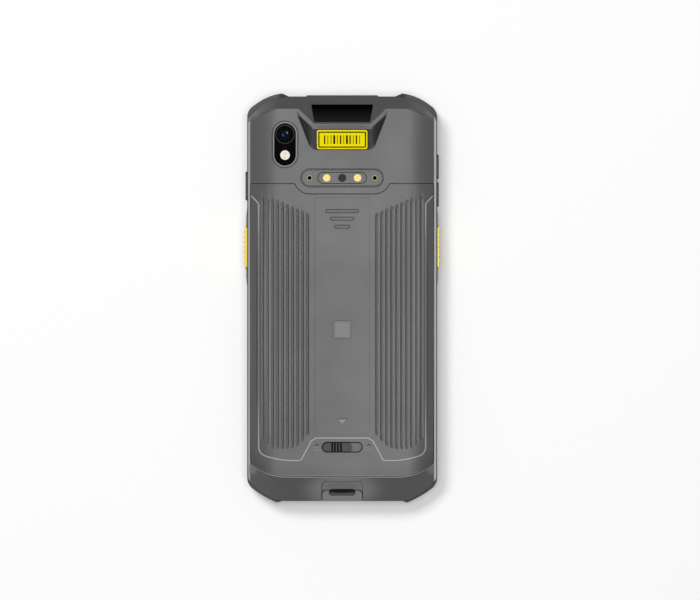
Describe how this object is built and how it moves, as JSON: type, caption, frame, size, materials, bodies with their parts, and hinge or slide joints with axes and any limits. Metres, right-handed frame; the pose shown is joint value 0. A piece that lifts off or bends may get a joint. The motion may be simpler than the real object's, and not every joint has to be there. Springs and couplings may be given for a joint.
{
  "type": "barcode data terminal",
  "caption": "Rugged handheld barcode data terminal with a slanted scan window, side scan triggers, rear accessory contacts, a hinged port flap and a latched battery cover.",
  "frame": {"origin": "centre of the plan outline, on the plane of the four corner bumpers' front faces, on which the terminal lies face down", "axes": "+Z out of the back, +Y towards the scanner end, +X to the right side as seen from the back"},
  "size_m": [0.0774, 0.1617, 0.019],
  "materials": {
    "housing": "fine moulded texture, mid grey",
    "cover": "fine moulded texture, mid grey",
    "bumper": "satin rubber over-mould, dark grey",
    "accent": "satin light grey inlay",
    "key": "dark satin keys",
    "trigger": "bright yellow soft-touch plastic",
    "window_black": "deep black polished window",
    "display_glass": "black-backed toughened glass",
    "trim": "satin light grey ring",
    "lens_glass": "coated lens glass",
    "flash": "milky diffuser",
    "gold": "gold-plated contact",
    "brass_insert": "knurled brass insert",
    "dark_plug": "dark plug",
    "label": "yellow printed plate with a plain black frame",
    "latch": "dark ribbed slider",
    "steel": "bright stamped steel",
    "aluminium": "pressed sheet",
    "board": "solder mask green",
    "battery": "black wrapped cells",
    "gasket": "soft black seal",
    "antenna": "ferrite sheet",
    "flap": "satin rubber, mid grey",
    "display": "dark display panel",
    "inner_black": "black moulded plastic"
  },
  "bodies": {
    "root": {"rear_housing": "housing", "front_housing": "housing", "contact_plate": "housing", "trigger_guard_left": "housing", "trigger_guard_right": "housing", "corner_bumper_top_left": "bumper", "corner_bumper_top_right": "bumper", "corner_bumper_bottom_left": "bumper", "corner_bumper_bottom_right": "bumper", "display_glass": "display_glass", "display_module": "display", "chassis_plate": "aluminium", "earpiece_grille": "steel", "front_camera_lens": "lens_glass", "housing_screws": "steel", "scan_window": "window_black", "scan_bracket": "steel", "scan_engine": "inner_black", "label_plate": "label", "camera_trim": "trim", "camera_window": "window_black", "camera_lens": "lens_glass", "flash_lens": "flash", "camera_module": "inner_black", "contact_block": "housing", "contact_pads": "gold", "contact_plug": "dark_plug", "grip_inserts": "brass_insert", "main_board": "board", "shield_cans": "aluminium", "sub_board": "board", "usb_receptacle": "steel", "loudspeaker": "inner_black", "vibration_motor": "steel", "side_switches": "inner_black", "battery_pack": "battery", "battery_contacts": "inner_black", "bay_gasket": "gasket", "flap_pin": "steel"},
    "cover": {"battery_cover": "cover", "accent_strip": "accent", "nfc_antenna": "antenna"},
    "latch": {"latch_slider": "latch", "latch_bolt": "latch"},
    "flap": {"port_flap": "flap"},
    "trigger_left": {"scan_trigger_left": "trigger"},
    "trigger_right": {"scan_trigger_right": "trigger"},
    "power_key": {"power_button": "key"},
    "volume_up_key": {"volume_up_button": "key"},
    "volume_down_key": {"volume_down_button": "key"}
  },
  "joints": [
    {"name": "cover_hinge", "type": "hinge", "parent": "root", "child": "cover", "pos_m": [0, 0.0453, 0.0158], "axis": [-1, 0, 0], "range_deg": [0, 45]},
    {"name": "latch_slide", "type": "slide", "parent": "cover", "child": "latch", "axis": [1, 0, 0], "range_m": [0, 0.0038]},
    {"name": "port_flap_hinge", "type": "hinge", "parent": "root", "child": "flap", "pos_m": [0, -0.07915, 0.002], "axis": [1, 0, 0], "range_deg": [0, 90]},
    {"name": "trigger_left_press", "type": "slide", "parent": "root", "child": "trigger_left", "axis": [1, 0, 0], "range_m": [0, 0.0006], "stiffness_N_per_m": 1500, "springref_m": -0.0006},
    {"name": "trigger_right_press", "type": "slide", "parent": "root", "child": "trigger_right", "axis": [-1, 0, 0], "range_m": [0, 0.0006], "stiffness_N_per_m": 1500, "springref_m": -0.0006},
    {"name": "power_press", "type": "slide", "parent": "root", "child": "power_key", "axis": [1, 0, 0], "range_m": [0, 0.0004], "stiffness_N_per_m": 1500, "springref_m": -0.0005},
    {"name": "volume_up_press", "type": "slide", "parent": "root", "child": "volume_up_key", "axis": [-1, 0, 0], "range_m": [0, 0.0004], "stiffness_N_per_m": 1500, "springref_m": -0.0005},
    {"name": "volume_down_press", "type": "slide", "parent": "root", "child": "volume_down_key", "axis": [-1, 0, 0], "range_m": [0, 0.0004], "stiffness_N_per_m": 1500, "springref_m": -0.0005}
  ]
}
